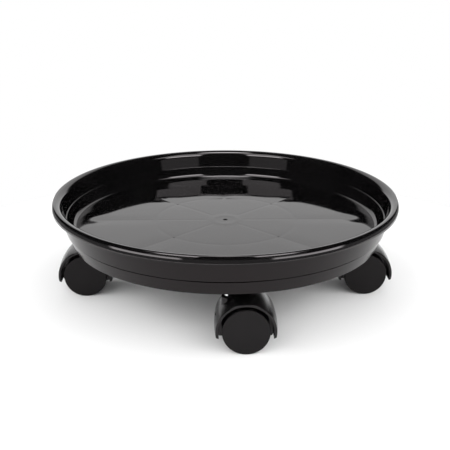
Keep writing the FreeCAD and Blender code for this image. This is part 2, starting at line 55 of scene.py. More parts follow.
# %% Where the casters stand
MM = 0.001
SIDES = ("front", "right", "rear", "left")
joint_at = {joint["name"]: Vector(joint["pos_m"]) for joint in frame["joints"]}


def caster_place(side):
    """Matrix that carries a caster drawn about its axle, with the stem at -X, to its side."""
    axle = joint_at[f"{side}_roll_1"]
    stem = joint_at[f"{side}_swivel"]
    heading = math.atan2(axle.y - stem.y, axle.x - stem.x)
    return Matrix.Translation(axle) @ Matrix.Rotation(heading, 4, "Z")


TRAIL = (joint_at["front_roll_1"] - joint_at["front_swivel"]).xy.length / MM
print("stem to axle, millimetres", round(TRAIL, 2))

# %% [markdown]
# ## Drawing a moulded part
# Every piece here is either turned on a lathe or cut from such turned shapes. A moulder never leaves
# a sharp corner, so the outline helper takes each corner with its own radius and draws the round as
# an arc. A close point past each end of an arc keeps the flat faces shading flat.

# %% Outline with rounded corners
ARC_STEPS = 8
HOLD = 0.25  # how far past an arc the flat face is held, in millimetres


def rounded(corners, closed=True):
    """Points of an outline given as (across, up, radius), with arcs in place of the corners."""
    points = []
    count = len(corners)
    for index, (x, y, radius) in enumerate(corners):
        here = Vector((x, y))
        at_end = not closed and index in (0, count - 1)
        if at_end or radius <= 0:
            points.append(here)
            continue
        previous = corners[index - 1]
        following = corners[(index + 1) % count]
        before = Vector(previous[:2]) - here
        after = Vector(following[:2]) - here
        room = min(before.length * share_for(previous), after.length * share_for(following))
        points += corner_arc(here, before, after, radius, room)
    return [(p.x, p.y) for p in points]


def share_for(neighbour):
    """The share of a side that a round may take: nearly all of it beside a plain point."""
    return 0.49 if neighbour[2] > 0 else 0.995


def corner_arc(here, before, after, radius, room):
    """One rounded corner: hold point, arc points, hold point."""
    half = before.angle(after) / 2
    run = min(radius / math.tan(half), room)
    radius = run * math.tan(half)
    into = before.normalized()
    out = after.normalized()
    centre = here + (into + out).normalized() * (radius / math.sin(half))
    start = here + into * run - centre
    end = here + out * run - centre
    sweep = start.angle_signed(end)
    arc = [centre + turned(start, sweep * step / ARC_STEPS) for step in range(ARC_STEPS + 1)]
    first = [here + into * (run + HOLD)] if before.length > 2 * run + 2 * HOLD else []
    last = [here + out * (run + HOLD)] if after.length > 2 * run + 2 * HOLD else []
    return first + arc + last


def turned(vector, angle):
    """A flat vector turned clockwise by an angle, the way angle_signed counts."""
    cosine = math.cos(angle)
    sine = math.sin(angle)
    return Vector((vector.x * cosine + vector.y * sine, vector.y * cosine - vector.x * sine))


# %% [markdown]
# The lathe helper turns such an outline about an axis into a closed mesh. Points on the axis become
# one shared pole, so the result is watertight and can be joined to or cut from another solid.

# %% Lathe
def lathe(outline, steps, axis="Z", offset=(0.0, 0.0, 0.0)):
    """Closed mesh (bmesh) swept by an outline of (radius, height) points about Z or Y."""
    shape = bmesh.new()
    rings = []
    for radius, height in outline:
        if radius < 1e-6:
            rings.append([shape.verts.new(spun(0.0, height, 0.0, axis, offset))])
            continue
        angles = [2 * math.pi * step / steps for step in range(steps)]
        rings.append([shape.verts.new(spun(radius, height, a, axis, offset)) for a in angles])
    for low, high in zip(rings, rings[1:] + rings[:1]):
        if len(low) == 1 and len(high) == 1:
            continue
        for step in range(steps):
            following = (step + 1) % steps
            loop = [low[step % len(low)], low[following % len(low)]]
            loop += [high[following % len(high)], high[step % len(high)]]
            shape.faces.new(list(dict.fromkeys(loop)))
    bmesh.ops.recalc_face_normals(shape, faces=shape.faces)
    return shape


def spun(radius, height, angle, axis, offset):
    """A point at a radius and angle about the axis, in metres."""
    a = radius * math.cos(angle)
    b = radius * math.sin(angle)
    place = (a, b, height) if axis == "Z" else (a, height, -b)
    return Vector([(p + o) * MM for p, o in zip(place, offset)])


# %% [markdown]
# Ribs and webs are plates. The plate helper pushes a flat outline to a thickness along Z or Y.

# %% Plate
def plate(outline, low, high, axis="Z"):
    """Closed mesh (bmesh) of a flat outline, from one height to another along Z or Y."""
    shape = bmesh.new()

    def at(x, y, height):
        place = (x, y, height) if axis == "Z" else (x, height, y)
        return shape.verts.new(Vector(place) * MM)

    bottom = [at(x, y, low) for x, y in outline]
    top = [at(x, y, high) for x, y in outline]
    shape.faces.new(bottom)
    shape.faces.new(top)
    for index in range(len(outline)):
        after = (index + 1) % len(outline)
        shape.faces.new([bottom[index], bottom[after], top[after], top[index]])
    bmesh.ops.recalc_face_normals(shape, faces=shape.faces)
    return shape


# %% [markdown]
# The real tray is one shot of plastic, so its ribs and sockets must be one skin with its floor. The
# join helper adds and cuts closed solids with Blender's manifold solver, which is quick and leaves
# no inner walls. Small solids are gathered first, because every cut of the finely divided dish takes
# a while. Edges sharper than a set angle are then marked, and everything else shades smooth.

# %% Joining and cutting solids
def solid(name, shape):
    """Turns a bmesh into an object in the scene."""
    mesh = bpy.data.meshes.new(name)
    shape.to_mesh(mesh)
    shape.free()
    piece = bpy.data.objects.new(name, mesh)
    bpy.context.scene.collection.objects.link(piece)
    return piece


def combine(base, others, operation):
    """Adds ('UNION') or takes away ('DIFFERENCE') other shapes, which are used up."""
    for shape in others:
        tool = solid("tool", shape)
        step = base.modifiers.new("step", "BOOLEAN")
        step.operation = operation
        step.solver = "MANIFOLD"
        step.object = tool
        mesh = bpy.data.meshes.new_from_object(base.evaluated_get(bpy.context.evaluated_depsgraph_get()))
        base.modifiers.clear()
        old = base.data
        base.data = mesh
        mesh.name = base.name
        bpy.data.meshes.remove(old)
        bpy.data.objects.remove(tool)
    return base


def gathered(shapes):
    """Small shapes joined into one, so that the big dish is joined or cut only once."""
    whole = combine(solid("gathered", shapes[0]), shapes[1:], "UNION")
    mesh = whole.data
    shape = bmesh.new()
    shape.from_mesh(mesh)
    bpy.data.objects.remove(whole)
    bpy.data.meshes.remove(mesh)
    return shape


def smooth(piece, sharp_degrees=32):
    """Smooth shading everywhere except across edges sharper than the angle."""
    shape = bmesh.new()
    shape.from_mesh(piece.data)
    for face in shape.faces:
        face.smooth = True
    for edge in shape.edges:
        flat = len(edge.link_faces) == 2 and edge.calc_face_angle(0) < math.radians(sharp_degrees)
        edge.smooth = flat
    shape.to_mesh(piece.data)
    shape.free()
    return piece


# %% [markdown]
# ## Finishes
# All the plastic is black, so the eye reads it by gloss alone. The dish is polished in the mould, its
# outside is a little softer, the hoods are satin and the wheels are matt. Real moulded faces are
# never optically flat, so each finish gets a slow waviness and a fine grain in its bump, and a
# roughness that drifts from place to place.

# %% Node helpers
def new_finish(name):
    """A material with an empty node tree but for its Principled shader."""
    finish = bpy.data.materials.new(name)
    finish.use_nodes = True
    tree = finish.node_tree
    shader = tree.nodes["Principled BSDF"]
    return finish, tree, shader


def noise(tree, per_metre, detail=3.0, roughness=0.5):
    """Noise measured on the object itself, so it stays put when a piece moves."""
    place = tree.nodes.new("ShaderNodeTexCoord")
    texture = tree.nodes.new("ShaderNodeTexNoise")
    texture.inputs["Scale"].default_value = per_metre
    texture.inputs["Detail"].default_value = detail
    texture.inputs["Roughness"].default_value = roughness
    tree.links.new(place.outputs["Object"], texture.inputs["Vector"])
    return texture.outputs["Fac"]


def spread(tree, source, low, high, start=0.35, end=0.65):
    """Maps the middle of a noise to a range of values."""
    node = tree.nodes.new("ShaderNodeMapRange")
    node.inputs["From Min"].default_value = start
    node.inputs["From Max"].default_value = end
    node.inputs["To Min"].default_value = low
    node.inputs["To Max"].default_value = high
    tree.links.new(source, node.inputs["Value"])
    return node.outputs["Result"]


def tint(tree, source, dark, light):
    """Mixes two colours by a noise."""
    node = tree.nodes.new("ShaderNodeMix")
    node.data_type = "RGBA"
    node.inputs["A"].default_value = (*dark, 1)
    node.inputs["B"].default_value = (*light, 1)
    tree.links.new(source, node.inputs["Factor"])
    return node.outputs["Result"]


def bump(tree, source, depth_mm, under=None):
    """A bump of a real depth, laid over another one if given."""
    node = tree.nodes.new("ShaderNodeBump")
    node.inputs["Strength"].default_value = 1.0
    node.inputs["Distance"].default_value = depth_mm * MM
    tree.links.new(source, node.inputs["Height"])
    if under:
        tree.links.new(under, node.inputs["Normal"])
    return node.outputs["Normal"]


# %% Black plastics
WARM = (1.0, 0.94, 0.957)  # a faint warm tint in the highlights
DRIFT_PER_METRE = 22.0
SMEAR_PER_METRE = 60.0
WAVES_PER_METRE = 45.0


def black_plastic(name, shade, gloss, wave_mm, grain_mm, grain_per_metre, index):
    """Black plastic; shade is its darkest and lightest colour, gloss its two ends of roughness."""
    finish, tree, shader = new_finish(name)
    drift = noise(tree, DRIFT_PER_METRE)
    colour = tint(tree, spread(tree, drift, 0.0, 1.0), shade[0], shade[1])
    tree.links.new(colour, shader.inputs["Base Color"])
    smear = noise(tree, SMEAR_PER_METRE, detail=4.0)
    tree.links.new(spread(tree, smear, gloss[0], gloss[1]), shader.inputs["Roughness"])
    waves = bump(tree, noise(tree, WAVES_PER_METRE, detail=1.0), wave_mm)
    grain = bump(tree, noise(tree, grain_per_metre, detail=2.0), grain_mm, under=waves)
    tree.links.new(grain, shader.inputs["Normal"])
    shader.inputs["IOR"].default_value = index
    shader.inputs["Specular Tint"].default_value = (*WARM, 1)
    return finish


tray_gloss = black_plastic(
    "tray_gloss",
    shade=((0.0022, 0.0021, 0.0022), (0.0034, 0.0032, 0.0033)),
    gloss=(0.03, 0.06),
    wave_mm=0.004,
    grain_mm=0.0001,
    grain_per_metre=900.0,
    index=1.5,
)
tray_satin = black_plastic(
    "tray_satin",
    shade=((0.0026, 0.0013, 0.0015), (0.0036, 0.0021, 0.0023)),
    gloss=(0.13, 0.19),
    wave_mm=0.004,
    grain_mm=0.0012,
    grain_per_metre=1400.0,
    index=1.3,
)
hood_satin = black_plastic(
    "hood_satin",
    shade=((0.0022, 0.0021, 0.0022), (0.0036, 0.0034, 0.0036)),
    gloss=(0.17, 0.25),
    wave_mm=0.004,
    grain_mm=0.0012,
    grain_per_metre=1600.0,
    index=1.38,
)
wheel_matt = black_plastic(
    "wheel_matt",
    shade=((0.0024, 0.0022, 0.0023), (0.0038, 0.0035, 0.0036)),
    gloss=(0.4, 0.5),
    wave_mm=0.003,
    grain_mm=0.004,
    grain_per_metre=2400.0,
    index=1.3,
)
print("black plastics:", [each.name for each in (tray_gloss, tray_satin, hood_satin, wheel_matt)])

# %% [markdown]
# The metal is a bright plated stem, which shows as one lit sliver under the tray, and plainer turned
# steel inside. Turning leaves rings round the pin, so its bump is a wave along the axis.

# %% Metals
MOTTLE_PER_METRE = 300.0
PALER = 1.08
TOOL_RINGS = 900.0
RING_WANDER = 1.5


def turned_steel(name, colour, gloss, ring_mm, axis):
    """Turned or plated steel with fine tool rings along an axis."""
    finish, tree, shader = new_finish(name)
    shader.inputs["Metallic"].default_value = 1.0
    mottle = noise(tree, MOTTLE_PER_METRE)
    pale = [min(1.0, channel * PALER) for channel in colour]
    tree.links.new(tint(tree, mottle, colour, pale), shader.inputs["Base Color"])
    tree.links.new(spread(tree, mottle, gloss[0], gloss[1]), shader.inputs["Roughness"])
    place = tree.nodes.new("ShaderNodeTexCoord")
    rings = tree.nodes.new("ShaderNodeTexWave")
    rings.bands_direction = axis
    rings.inputs["Scale"].default_value = TOOL_RINGS
    rings.inputs["Distortion"].default_value = RING_WANDER
    tree.links.new(place.outputs["Object"], rings.inputs["Vector"])
    tree.links.new(bump(tree, rings.outputs["Fac"], ring_mm), shader.inputs["Normal"])
    return finish


plated_stem = turned_steel("plated_stem", (0.74, 0.74, 0.75), (0.12, 0.2), 0.001, "Z")
turned_axle = turned_steel("turned_axle", (0.56, 0.56, 0.58), (0.25, 0.36), 0.003, "Y")
spring_wire = turned_steel("spring_wire", (0.36, 0.36, 0.38), (0.3, 0.42), 0.002, "Z")
print("steels:", [each.name for each in (plated_stem, turned_axle, spring_wire)])

# %% [markdown]
# The small steel pieces already have their true shape in the design, so they stay and only take a
# finish. Nothing is moved: the material goes straight into each piece's own slot.

# %% Finish the steel pieces
def dress(node_name, finish):
    """Gives a design piece its finish in every material slot."""
    piece = frame["nodes"][node_name]
    piece.data.materials.clear()
    piece.data.materials.append(finish)


for side in SIDES:
    dress(f"{side}_stem", plated_stem)
    dress(f"{side}_axle", turned_axle)
    dress(f"{side}_grip_ring", spring_wire)
    dress(f"{side}_stem_clip", spring_wire)
print("steel pieces finished:", 4 * len(SIDES))

# %% [markdown]
# ## The tray
# The dish is a lathe shape: flat floor, rounded corner, a thin ledge nearly half way up the wall, and
# a lip that rolls over and hangs down outside. Below the floor the wall carries on as a skirt, which
# hides the ribs. It is set in by a hair, and a narrow groove where it starts gives a crisp shadow
# line. The outline starts in the middle of the floor and runs outwards, round the lip and back
# underneath.

# %% Tray sizes
LIP_RADIUS = 152.5
LIP_TOP = 91.2
LIP_CREST = 150.3
LIP_SIDE_TOP = 86.7
LIP_FOOT = 84.8
LIP_BACK = 149.7
LIP_UNDER = 88.4
LEDGE = 76.2
FLOOR_TOP = 66.0
FLOOR_UNDER = 63.2
GROOVE_TOP = FLOOR_TOP + 0.4
GROOVE_BOTTOM = FLOOR_TOP - 0.9
SKIRT_BOTTOM = 53.8
RIB_BOTTOM = 56.2
RIB_THICK = 2.0
HUB_RING = 15.0
OUTER_RING = 63.0
STEM_CIRCLE = joint_at["right_swivel"].x / MM
SOCKET_BOTTOM = 46.0
SOCKET_RADIUS = 6.65
SOCKET_BORE = 3.05
SOCKET_DEPTH_TOP = 64.0

DISH_INSIDE = [
    (0, FLOOR_TOP, 0),
    (135.55, FLOOR_TOP, 5.5),
    (140.09, LEDGE, 0.3),
    (140.69, LEDGE, 0.25),
    (145.28, LIP_TOP, 6.7),
    (LIP_CREST, LIP_TOP, 0),
]
DISH_OUTSIDE = [
    (LIP_RADIUS, LIP_SIDE_TOP, 0),
    (LIP_RADIUS, LIP_FOOT, 0.5),
    (LIP_BACK, LIP_FOOT, 0.9),
    (LIP_BACK, LIP_UNDER, 0.5),
    (147.98, LIP_UNDER, 0.8),
    (141.2, GROOVE_TOP, 0.3),
    (138.9, GROOVE_TOP, 0.2),
    (138.7, GROOVE_BOTTOM, 0.2),
    (139.63, GROOVE_BOTTOM, 0.2),
    (135.79, SKIRT_BOTTOM, 0.7),
    (132.17, SKIRT_BOTTOM, 0.7),
    (135.59, FLOOR_UNDER, 1.0),
    (0, FLOOR_UNDER, 0),
]
print("tray height without casters, millimetres", round(LIP_TOP - SKIRT_BOTTOM, 1))

# %% [markdown]
# Seen from outside, the lip is no half circle: it falls away slowly from its crest and ends upright.
# A quarter of an ellipse, taller than it is wide, draws that. The middle of the floor gets
# close rings of its own, because the next step presses shallow marks into it.

# %% The dish's section
FLOOR_STEP = 1.25
LIP_STEPS = 14


def lip_side():
    """The lip's outer curve, from its crest to where it turns upright."""
    across = LIP_RADIUS - LIP_CREST
    fall = LIP_TOP - LIP_SIDE_TOP
    turns = [math.pi / 2 * step / LIP_STEPS for step in range(1, LIP_STEPS)]
    return [(LIP_CREST + across * math.sin(turn), LIP_SIDE_TOP + fall * math.cos(turn)) for turn in turns]


def tray_outline():
    """The dish's whole section, with close rings across the floor."""
    inside = rounded(DISH_INSIDE, closed=False)
    floor_end = inside[1][0]
    rings = int(floor_end / FLOOR_STEP)
    floor = [(floor_end * index / rings, FLOOR_TOP) for index in range(rings)]
    return floor + inside[1:] + lip_side() + rounded(DISH_OUTSIDE, closed=False)


# %% [markdown]
# Thick ribs shrink as they cool and draw the floor down by a tenth or two of a millimetre. Each rib
# leaves a fine line with a broad soft valley beside it, and each caster socket a shallow hollow. That
# hardly shows on a matt floor, but on a polished one it bends every reflection, so it is modelled as
# shape. The moulding gate in the middle leaves a low raised ring.

# %% Sink marks in the floor
TRAY_STEPS = 640
RIB_RAYS = 8
RAY_START = 14.0
RAY_END = 118.0
LINE_DEPTH = 0.05
LINE_HALF_WIDTH = 1.6
LINE_FADE_IN = 6.0
LINE_FADE_OUT = 12.0
VALLEY_DEPTH = 0.18
VALLEY_HALF_WIDTH = 9.0
VALLEY_START = 40.0
VALLEY_FULL = 84.0
RING_DEPTH = 0.03
RING_HALF_WIDTH = 7.0
HOLLOW_DEPTH = 0.1
HOLLOW_RADIUS = 10.0
GATE_RING = 11.0
GATE_RISE = 0.09
GATE_HALF_WIDTH = 3.0
FADE_START = 118.0
FLAT_EDGE = 131.0


def bell(distance, half_width):
    """1 at no distance, falling away softly on both sides."""
    return math.exp(-((distance / half_width) ** 2))


def ease(value, start, end):
    """0 before start and 1 after end, with a soft passage."""
    share = min(1.0, max(0.0, (value - start) / (end - start)))
    return share * share * (3 - 2 * share)


def floor_sink(x, y):
    """How far the floor is drawn down at a point, in millimetres."""
    radius = math.hypot(x, y)
    turn = 2 * math.pi / RIB_RAYS
    angle = math.atan2(y, x)
    off_ray = abs(math.sin(angle - round(angle / turn) * turn)) * radius
    off_ring = radius - OUTER_RING
    line = bell(off_ray, LINE_HALF_WIDTH) * ease(radius, RAY_START, RAY_START + LINE_FADE_IN)
    line *= 1 - ease(radius, RAY_END - LINE_FADE_OUT, RAY_END)
    line = LINE_DEPTH * max(line, bell(off_ring, LINE_HALF_WIDTH))
    valley = VALLEY_DEPTH * bell(off_ray, VALLEY_HALF_WIDTH) * ease(radius, VALLEY_START, VALLEY_FULL)
    valley += RING_DEPTH * bell(off_ring, RING_HALF_WIDTH)
    quarter = math.pi / 2
    beside = angle - round(angle / quarter) * quarter
    off_socket = math.hypot(radius * math.cos(beside) - STEM_CIRCLE, radius * math.sin(beside))
    hollow = HOLLOW_DEPTH * bell(off_socket, HOLLOW_RADIUS)
    gate = GATE_RISE * bell(radius - GATE_RING, GATE_HALF_WIDTH)
    return (line + valley + hollow) * (1 - ease(radius, FADE_START, FLAT_EDGE)) - gate


# %% Turn the dish
def make_dish():
    """The dish as one closed skin with its sink marks."""
    shape = lathe(tray_outline(), TRAY_STEPS)
    level = FLOOR_TOP * MM
    for vertex in shape.verts:
        if abs(vertex.co.z - level) < 1e-7 and vertex.co.xy.length < FLAT_EDGE * MM:
            vertex.co.z -= floor_sink(vertex.co.x / MM, vertex.co.y / MM) * MM
    return solid("tray_shell", shape)


tray = make_dish()
print("dish faces", len(tray.data.polygons))

# %% [markdown]
# The gate itself is a small pit in the middle, and the pins that push the tray out of the mould leave
# a dot over each crossing of the outer ring with a slanting rib. Each is cut as a shallow cup.

# %% Gate pit and ejector dots
DOT_WIDTH = 0.9
DOT_DEPTH = 0.45
GATE_WIDTH = 2.1
GATE_DEPTH = 0.7


def turned_about_z(shape, degrees):
    """The same shape turned about the tray's axis."""
    turn = Matrix.Rotation(math.radians(degrees), 3, "Z")
    bmesh.ops.rotate(shape, verts=shape.verts, cent=(0, 0, 0), matrix=turn)
    return shape


def pit(radius_out, degrees, width, depth):
    """A cup-shaped cutter that stands in the floor."""
    section = [
        (0, FLOOR_TOP - depth),
        (width * 0.6, FLOOR_TOP - depth),
        (width, FLOOR_TOP - depth * 0.3),
        (width * 1.15, FLOOR_TOP + 0.5),
        (0, FLOOR_TOP + 0.5),
    ]
    return turned_about_z(lathe(section, 20, offset=(radius_out, 0, 0)), degrees)


pits = [pit(OUTER_RING, degrees, DOT_WIDTH, DOT_DEPTH) for degrees in (45, 135, 225, 315)]
pits.append(pit(0, 0, GATE_WIDTH, GATE_DEPTH))
print("pits in the floor:", len(pits))
combine(tray, [gathered(pits)], "DIFFERENCE")

# %% [markdown]
# Under the floor eight ribs run from a small hub ring out to the skirt, a second ring ties them
# together, and four bosses hold the stems. Each boss stands well below the ribs, so two gussets prop
# it. All are added as solids, and the stem bores are cut last so that they stay clear.

# %% Ribs, rings and sockets
RIB_REACH = 134.2
INTO_FLOOR = FLOOR_UNDER + 1
GUSSET_LENGTH = 10.0


def radial_rib(degrees):
    """One rib from the hub ring into the skirt."""
    half = RIB_THICK / 2
    outline = [(HUB_RING, -half), (RIB_REACH, -half), (RIB_REACH, half), (HUB_RING, half)]
    return turned_about_z(plate(outline, RIB_BOTTOM, INTO_FLOOR), degrees)


def ring_rib(radius):
    """A rib that runs round the middle of the tray."""
    half = RIB_THICK / 2
    section = [
        (radius - half, INTO_FLOOR),
        (radius - half, RIB_BOTTOM),
        (radius + half, RIB_BOTTOM),
        (radius + half, INTO_FLOOR),
    ]
    return lathe(section, 160)


def socket_boss(degrees):
    """The round boss that a stem is pressed into."""
    corners = [
        (0, INTO_FLOOR, 0),
        (0, SOCKET_BOTTOM, 0),
        (SOCKET_RADIUS, SOCKET_BOTTOM, 0.7),
        (SOCKET_RADIUS, INTO_FLOOR, 0),
    ]
    boss = lathe(rounded(corners, closed=False), 48, offset=(STEM_CIRCLE, 0, 0))
    return turned_about_z(boss, degrees)


def gusset(degrees):
    """The plate that props a boss on both sides."""
    reach = SOCKET_RADIUS + GUSSET_LENGTH
    outline = [
        (STEM_CIRCLE - reach, INTO_FLOOR),
        (STEM_CIRCLE - reach, RIB_BOTTOM),
        (STEM_CIRCLE - SOCKET_RADIUS + 1, SOCKET_BOTTOM + 3),
        (STEM_CIRCLE + SOCKET_RADIUS - 1, SOCKET_BOTTOM + 3),
        (STEM_CIRCLE + reach, RIB_BOTTOM),
        (STEM_CIRCLE + reach, INTO_FLOOR),
    ]
    return turned_about_z(plate(outline, -RIB_THICK / 2, RIB_THICK / 2, axis="Y"), degrees)


def stem_bore(degrees):
    """The cutter for a boss's blind hole."""
    mouth = SOCKET_BOTTOM - 1
    section = [(0, mouth), (SOCKET_BORE, mouth), (SOCKET_BORE, SOCKET_DEPTH_TOP), (0, SOCKET_DEPTH_TOP)]
    return turned_about_z(lathe(section, 48, offset=(STEM_CIRCLE, 0, 0)), degrees)


QUARTERS = (0, 90, 180, 270)
stiffening = [radial_rib(360 / RIB_RAYS * ray) for ray in range(RIB_RAYS)]
stiffening += [ring_rib(HUB_RING), ring_rib(OUTER_RING)]
stiffening += [gusset(turn) for turn in QUARTERS]
stiffening += [socket_boss(turn) for turn in QUARTERS]
combine(tray, [gathered(stiffening)], "UNION")
combine(tray, [gathered([stem_bore(turn) for turn in QUARTERS])], "DIFFERENCE")
smooth(tray)
print("tray faces with ribs", len(tray.data.polygons))

# %% [markdown]
# The polished finish covers the inside of the dish and the lip, and the softer one covers the wall,
# the skirt and everything below. The parting line of the mould is at the lip's lower edge.

# %% Finish the tray
WALL_LEAN = 0.306  # how far the wall leans out for each millimetre of height
WALL_MIDDLE = 139.0  # a radius inside the wall's thickness at the height of the floor


def outside_of_dish(face):
    """True below the lip and outside the dish, or anywhere under the floor."""
    centre = face.center
    radius = centre.xy.length / MM
    height = centre.z / MM
    below_floor = height < FLOOR_TOP - 0.5
    past_middle = radius > WALL_MIDDLE + (height - FLOOR_TOP) * WALL_LEAN
    outer_wall = past_middle and height < LIP_UNDER + 0.1 and radius < LIP_BACK - 0.1
    return below_floor or outer_wall


tray.data.materials.clear()
tray.data.materials.append(tray_gloss)
tray.data.materials.append(tray_satin)
for face in tray.data.polygons:
    face.material_index = int(outside_of_dish(face))
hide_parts("tray")
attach(tray, "tray")

# %% [markdown]
# ## The hoods
# A hood is one plastic moulding: an arch over both wheels, a web between them that carries the axle,
# and a round tower that swivels on the stem. The arch is a bent strip, not a full ring, so it has a
# helper of its own: a rounded section is carried round the axle, and its thickness dies away at both
# tips.

# %% Hood sizes
WHEEL_RADIUS = 19.0
HALF_WIDTH = 19.0
ARCH_INSIDE = 21.8
ARCH_OUTSIDE = 24.0
ARCH_CROWN = 1.0
TIP_DROP = 5.5
HALF_WEB = 5.5
WEB_DROP = 9.0
TOWER_RADIUS = 5.3
TOWER_RISE = 23.4
STEM_BORE_RISE = 3.0
SWIVEL_BORE = 3.05
AXLE_RADIUS = 2.5


# %% The arch strip
CROWN_STEPS = 8
CROWN_EDGE = 0.9
THINNEST = 0.18


def arch_section():
    """Rounded section of the arch as (across, radius): flat inside, swollen outside."""
    swell = (HALF_WIDTH**2 + ARCH_CROWN**2) / (2 * ARCH_CROWN)
    middle = ARCH_OUTSIDE + ARCH_CROWN - swell
    outer = []
    for step in range(-CROWN_STEPS, CROWN_STEPS + 1):
        across = (HALF_WIDTH - CROWN_EDGE) * step / CROWN_STEPS
        outer.append((across, middle + math.sqrt(swell**2 - across**2), 0))
    left = [(-HALF_WIDTH, ARCH_INSIDE, 0.5), (-HALF_WIDTH, ARCH_OUTSIDE, 0.8)]
    right = [(HALF_WIDTH, ARCH_OUTSIDE, 0.8), (HALF_WIDTH, ARCH_INSIDE, 0.5)]
    return rounded(left + outer + right)


def bent_strip(section, start, end, steps, taper):
    """Carries a section round the Y axis; the ends thin out over the taper angle."""
    shape = bmesh.new()
    rings = []
    base = ARCH_INSIDE + 0.3
    for step in range(steps + 1):
        angle = start + (end - start) * step / steps
        near_end = min(step, steps - step) * (end - start) / steps / taper
        full = max(THINNEST, math.sqrt(1 - (1 - min(1.0, near_end)) ** 2))
        ring = []
        for across, radius in section:
            r = base + (radius - base) * full
            ring.append(shape.verts.new(Vector((r * math.cos(angle), across, r * math.sin(angle))) * MM))
        rings.append(ring)
    count = len(section)
    for low, high in zip(rings, rings[1:]):
        for index in range(count):
            after = (index + 1) % count
            shape.faces.new([low[index], low[after], high[after], high[index]])
    shape.faces.new(rings[0])
    shape.faces.new(rings[-1])
    bmesh.ops.recalc_face_normals(shape, faces=shape.faces)
    return shape


# %% [markdown]
# The tower spreads into the arch with a hollow curve, as the mould's rounding leaves it. The wheel
# rooms are cut after the tower is added, so nothing of it hangs into them, and the web closes the
# middle again.

# %% Assemble one hood
FLARE_WIDTH = 5.2
FLARE_HEIGHT = 10.0
TOWER_NECK = 5.5
FLARE_STEPS = 8
ARCH_STEPS = 112
TIP_TAPER = 0.06
WEB_STEPS = 64


def tower():
    """The round tower on its flared foot."""
    flare_top = TOWER_RISE - TOWER_NECK
    curve = []
    for step in range(FLARE_STEPS + 1):
        share = step / FLARE_STEPS
        spread_out = FLARE_WIDTH * (1 - math.sin(share * math.pi / 2))
        curve.append((TOWER_RADIUS + spread_out, flare_top - FLARE_HEIGHT * (1 - share), 0))
    foot = [(0, 0, 0), (TOWER_RADIUS + FLARE_WIDTH, 0, 0)]
    head = [(TOWER_RADIUS, TOWER_RISE, 0.6), (0, TOWER_RISE, 0)]
    return lathe(rounded(foot + curve + head, closed=False), 48, offset=(-TRAIL, 0, 0))


def wheel_room(side):
    """The cutter for the room of one wheel; side is -1 or 1."""
    low = side * HALF_WEB
    high = side * (HALF_WIDTH + 3)
    return lathe([(0, low), (ARCH_INSIDE, low), (ARCH_INSIDE, high), (0, high)], 128, axis="Y")


def web():
    """The plate between the wheels, which carries the axle."""
    radius = (ARCH_INSIDE + ARCH_OUTSIDE) / 2
    start = -math.asin(WEB_DROP / radius)
    sweep = math.pi - 2 * start
    outline = []
    for step in range(WEB_STEPS + 1):
        angle = start + sweep * step / WEB_STEPS
        outline.append((radius * math.cos(angle), radius * math.sin(angle)))
    return plate(outline, -HALF_WEB, HALF_WEB, axis="Y")


def make_hood():
    """One hood drawn about its axle, with the stem at -X."""
    drop = math.asin(TIP_DROP / ARCH_OUTSIDE)
    strip = bent_strip(arch_section(), -drop, math.pi + drop, ARCH_STEPS, TIP_TAPER)
    hood = combine(solid("hood", strip), [tower()], "UNION")
    combine(hood, [wheel_room(-1), wheel_room(1)], "DIFFERENCE")
    combine(hood, [web()], "UNION")
    over = TOWER_RISE + 2
    bore = [(0, STEM_BORE_RISE), (SWIVEL_BORE, STEM_BORE_RISE), (SWIVEL_BORE, over), (0, over)]
    past = HALF_WEB + 1
    hole = [(0, -past), (AXLE_RADIUS, -past), (AXLE_RADIUS, past), (0, past)]
    cutters = [lathe(bore, 40, offset=(-TRAIL, 0, 0)), lathe(hole, 40, axis="Y")]
    combine(hood, cutters, "DIFFERENCE")
    return smooth(hood, 28)


master_hood = make_hood()
print("hood faces", len(master_hood.data.polygons))

# %% [markdown]
# ## The wheels
# Each wheel is a cup with its closed face outwards. A small radius runs round the face, the tread is
# plain, and inside a hub and six ribs carry the load to the rim.

# %% Wheel
WHEEL_OPEN = 6.1
WHEEL_FACE = 19.0
WHEEL_BORE = 2.55
BORE_END = 18.0
HUB_RADIUS = 4.75
CUP_FLOOR = 16.8
RIM_INSIDE = 16.4
SPOKES = 6
SPOKE_END = 17.5
SPOKE_HALF = 0.8


def make_wheel():
    """One wheel drawn about its axle, with the closed face along +Y."""
    cup = rounded(
        [
            (0, BORE_END, 0),
            (WHEEL_BORE, BORE_END, 0),
            (WHEEL_BORE, WHEEL_OPEN, 0.3),
            (HUB_RADIUS, WHEEL_OPEN, 0.3),
            (HUB_RADIUS, CUP_FLOOR, 0.5),
            (RIM_INSIDE, CUP_FLOOR, 0.8),
            (RIM_INSIDE, WHEEL_OPEN, 0.3),
            (WHEEL_RADIUS, WHEEL_OPEN, 0.7),
            (WHEEL_RADIUS, WHEEL_FACE, 0.9),
            (0, WHEEL_FACE, 0),
        ],
        closed=False,
    )
    wheel = solid("wheel", lathe(cup, 96, axis="Y"))
    ribs = []
    start = HUB_RADIUS - 1
    outline = [
        (start, -SPOKE_HALF),
        (SPOKE_END, -SPOKE_HALF),
        (SPOKE_END, SPOKE_HALF),
        (start, SPOKE_HALF),
    ]
    for spoke in range(SPOKES):
        rib = plate(outline, WHEEL_OPEN + 1, SPOKE_END, axis="Y")
        turn = Matrix.Rotation(2 * math.pi / SPOKES * spoke, 3, "Y")
        bmesh.ops.rotate(rib, verts=rib.verts, cent=(0, 0, 0), matrix=turn)
        ribs.append(rib)
    combine(wheel, ribs, "UNION")
    return smooth(wheel)


master_wheel = make_wheel()
print("wheel faces", len(master_wheel.data.polygons))

# %% [markdown]
# One hood and one wheel are enough: each caster gets its own copies, carried to the axle that the
# design gives. Every copy stands for its design piece and rides on the same body, so it swivels and
# rolls with it.

